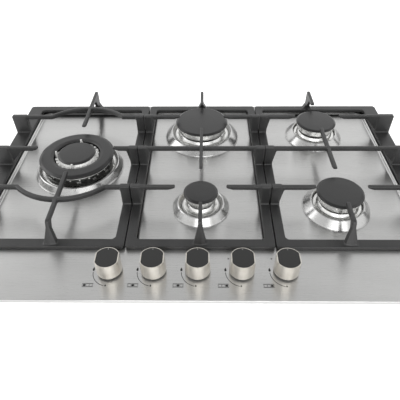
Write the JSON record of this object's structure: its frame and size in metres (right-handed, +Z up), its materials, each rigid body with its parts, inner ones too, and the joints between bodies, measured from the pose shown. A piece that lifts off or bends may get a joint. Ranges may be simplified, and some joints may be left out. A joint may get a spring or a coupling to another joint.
{
  "type": "gas cooktop",
  "caption": "Built-in gas cooktop with a pressed steel top, cast-iron pan supports, ring burners, front knobs and a lower box with the gas fittings.",
  "frame": {"origin": "centre of the steel top's outline on the worktop plane, where its turned-down edge and seal rest", "axes": "+X along the width to the user's right, +Y to the back away from the knobs, +Z up"},
  "size_m": [0.75, 0.5, 0.097],
  "materials": {
    "brushed_plate": "fine straight brushing",
    "polished_ring": "mirror polished",
    "cast_aluminium": "fine cast, matt",
    "enamelled_cap": "satin black enamel",
    "enamelled_iron": "satin black enamel over cast grain",
    "black_rubber": "matt",
    "satin_metal": "satin, turned",
    "black_insert": "smooth, semi gloss",
    "steel_rod": "turned",
    "zinc_sheet": "zinc coated sheet",
    "brass": "machined",
    "pipe_aluminium": "drawn tube",
    "white_ceramic": "glazed white",
    "grey_plastic": "fine grain",
    "lead_silicone": "smooth silicone"
  },
  "bodies": {
    "hob": {"burner_cup_auxiliary": "cast_aluminium", "burner_cup_front_right": "cast_aluminium", "burner_cup_rapid": "cast_aluminium", "burner_cup_rear_right": "cast_aluminium", "burner_cup_wok": "cast_aluminium", "burner_screws": "steel_rod", "cable_grommet": "black_rubber", "clamp_screws": "steel_rod", "feed_pipes": "pipe_aluminium", "flame_sensors": "steel_rod", "gas_injectors": "brass", "gas_inlet_elbow": "brass", "gas_rail": "steel_rod", "gas_valves": "brass", "ignition_module": "grey_plastic", "knob_seals": "black_rubber", "lower_box": "zinc_sheet", "spark_electrodes": "white_ceramic", "spark_leads": "lead_silicone", "top_plate": "brushed_plate", "trim_ring_auxiliary": "polished_ring", "trim_ring_front_right": "polished_ring", "trim_ring_rapid": "polished_ring", "trim_ring_rear_right": "polished_ring", "trim_ring_wok": "polished_ring", "worktop_clamps": "zinc_sheet", "worktop_seal": "black_rubber"},
    "crown_rapid": {"burner_crown_rapid": "cast_aluminium"},
    "cap_rapid": {"burner_cap_rapid": "enamelled_cap"},
    "crown_auxiliary": {"burner_crown_auxiliary": "cast_aluminium"},
    "cap_auxiliary": {"burner_cap_auxiliary": "enamelled_cap"},
    "crown_rear_right": {"burner_crown_rear_right": "cast_aluminium"},
    "cap_rear_right": {"burner_cap_rear_right": "enamelled_cap"},
    "crown_front_right": {"burner_crown_front_right": "cast_aluminium"},
    "cap_front_right": {"burner_cap_front_right": "enamelled_cap"},
    "crown_wok_outer": {"burner_crown_wok_outer": "cast_aluminium"},
    "cap_wok_outer": {"burner_cap_wok_outer": "enamelled_cap"},
    "crown_wok_inner": {"burner_crown_wok_inner": "cast_aluminium"},
    "cap_wok_inner": {"burner_cap_wok_inner": "enamelled_cap"},
    "support_left": {"pan_support_left": "enamelled_iron", "support_feet_left": "black_rubber"},
    "support_centre": {"pan_support_centre": "enamelled_iron", "support_feet_centre": "black_rubber"},
    "support_right": {"pan_support_right": "enamelled_iron", "support_feet_right": "black_rubber"},
    "spindle_1": {"valve_spindle_1": "steel_rod"},
    "knob_1": {"knob_shell_1": "satin_metal", "knob_top_1": "black_insert"},
    "spindle_2": {"valve_spindle_2": "steel_rod"},
    "knob_2": {"knob_shell_2": "satin_metal", "knob_top_2": "black_insert"},
    "spindle_3": {"valve_spindle_3": "steel_rod"},
    "knob_3": {"knob_shell_3": "satin_metal", "knob_top_3": "black_insert"},
    "spindle_4": {"valve_spindle_4": "steel_rod"},
    "knob_4": {"knob_shell_4": "satin_metal", "knob_top_4": "black_insert"},
    "spindle_5": {"valve_spindle_5": "steel_rod"},
    "knob_5": {"knob_shell_5": "satin_metal", "knob_top_5": "black_insert"}
  },
  "joints": [
    {"name": "crown_lift_rapid", "type": "slide", "parent": "hob", "child": "crown_rapid", "axis": [0, 0, 1], "range_m": [0, 0.0015]},
    {"name": "cap_lift_rapid", "type": "slide", "parent": "crown_rapid", "child": "cap_rapid", "axis": [0, 0, 1], "range_m": [0, 0.0022]},
    {"name": "crown_lift_rear_right", "type": "slide", "parent": "hob", "child": "crown_rear_right", "axis": [0, 0, 1], "range_m": [0, 0.02]},
    {"name": "cap_lift_rear_right", "type": "slide", "parent": "crown_rear_right", "child": "cap_rear_right", "axis": [0, 0, 1], "range_m": [0, 0.02]},
    {"name": "crown_lift_front_right", "type": "slide", "parent": "hob", "child": "crown_front_right", "axis": [0, 0, 1], "range_m": [0, 0.0015]},
    {"name": "cap_lift_front_right", "type": "slide", "parent": "crown_front_right", "child": "cap_front_right", "axis": [0, 0, 1], "range_m": [0, 0.0022]},
    {"name": "crown_lift_auxiliary", "type": "slide", "parent": "hob", "child": "crown_auxiliary", "axis": [0, 0, 1], "range_m": [0, 0.02]},
    {"name": "cap_lift_auxiliary", "type": "slide", "parent": "crown_auxiliary", "child": "cap_auxiliary", "axis": [0, 0, 1], "range_m": [0, 0.02]},
    {"name": "crown_lift_wok_outer", "type": "slide", "parent": "hob", "child": "crown_wok_outer", "axis": [0, 0, 1], "range_m": [0, 0.003]},
    {"name": "cap_lift_wok_outer", "type": "slide", "parent": "crown_wok_outer", "child": "cap_wok_outer", "axis": [0, 0, 1], "range_m": [0, 0.004]},
    {"name": "crown_lift_wok_inner", "type": "slide", "parent": "hob", "child": "crown_wok_inner", "axis": [0, 0, 1], "range_m": [0, 0.02]},
    {"name": "cap_lift_wok_inner", "type": "slide", "parent": "crown_wok_inner", "child": "cap_wok_inner", "axis": [0, 0, 1], "range_m": [0, 0.02]},
    {"name": "support_lift_left", "type": "slide", "parent": "hob", "child": "support_left", "axis": [0, 0, 1], "range_m": [0, 0.06]},
    {"name": "support_lift_centre", "type": "slide", "parent": "hob", "child": "support_centre", "axis": [0, 0, 1], "range_m": [0, 0.06]},
    {"name": "support_lift_right", "type": "slide", "parent": "hob", "child": "support_right", "axis": [0, 0, 1], "range_m": [0, 0.06]},
    {"name": "valve_turn_1", "type": "hinge", "parent": "hob", "child": "spindle_1", "pos_m": [-0.129, -0.2, 0.02], "axis": [0, 0, 1], "range_deg": [0, 175]},
    {"name": "knob_push_1", "type": "slide", "parent": "spindle_1", "child": "knob_1", "axis": [0, 0, -1], "range_m": [0, 0.003], "stiffness_N_per_m": 700, "springref_m": -0.001},
    {"name": "valve_turn_2", "type": "hinge", "parent": "hob", "child": "spindle_2", "pos_m": [-0.066, -0.2, 0.02], "axis": [0, 0, 1], "range_deg": [0, 175]},
    {"name": "knob_push_2", "type": "slide", "parent": "spindle_2", "child": "knob_2", "axis": [0, 0, -1], "range_m": [0, 0.003], "stiffness_N_per_m": 700, "springref_m": -0.001},
    {"name": "valve_turn_3", "type": "hinge", "parent": "hob", "child": "spindle_3", "pos_m": [-0.003, -0.2, 0.02], "axis": [0, 0, 1], "range_deg": [0, 175]},
    {"name": "knob_push_3", "type": "slide", "parent": "spindle_3", "child": "knob_3", "axis": [0, 0, -1], "range_m": [0, 0.003], "stiffness_N_per_m": 700, "springref_m": -0.001},
    {"name": "valve_turn_4", "type": "hinge", "parent": "hob", "child": "spindle_4", "pos_m": [0.06, -0.2, 0.02], "axis": [0, 0, 1], "range_deg": [0, 175]},
    {"name": "knob_push_4", "type": "slide", "parent": "spindle_4", "child": "knob_4", "axis": [0, 0, -1], "range_m": [0, 0.003], "stiffness_N_per_m": 700, "springref_m": -0.001},
    {"name": "valve_turn_5", "type": "hinge", "parent": "hob", "child": "spindle_5", "pos_m": [0.123, -0.2, 0.02], "axis": [0, 0, 1], "range_deg": [0, 175]},
    {"name": "knob_push_5", "type": "slide", "parent": "spindle_5", "child": "knob_5", "axis": [0, 0, -1], "range_m": [0, 0.003], "stiffness_N_per_m": 700, "springref_m": -0.001}
  ]
}
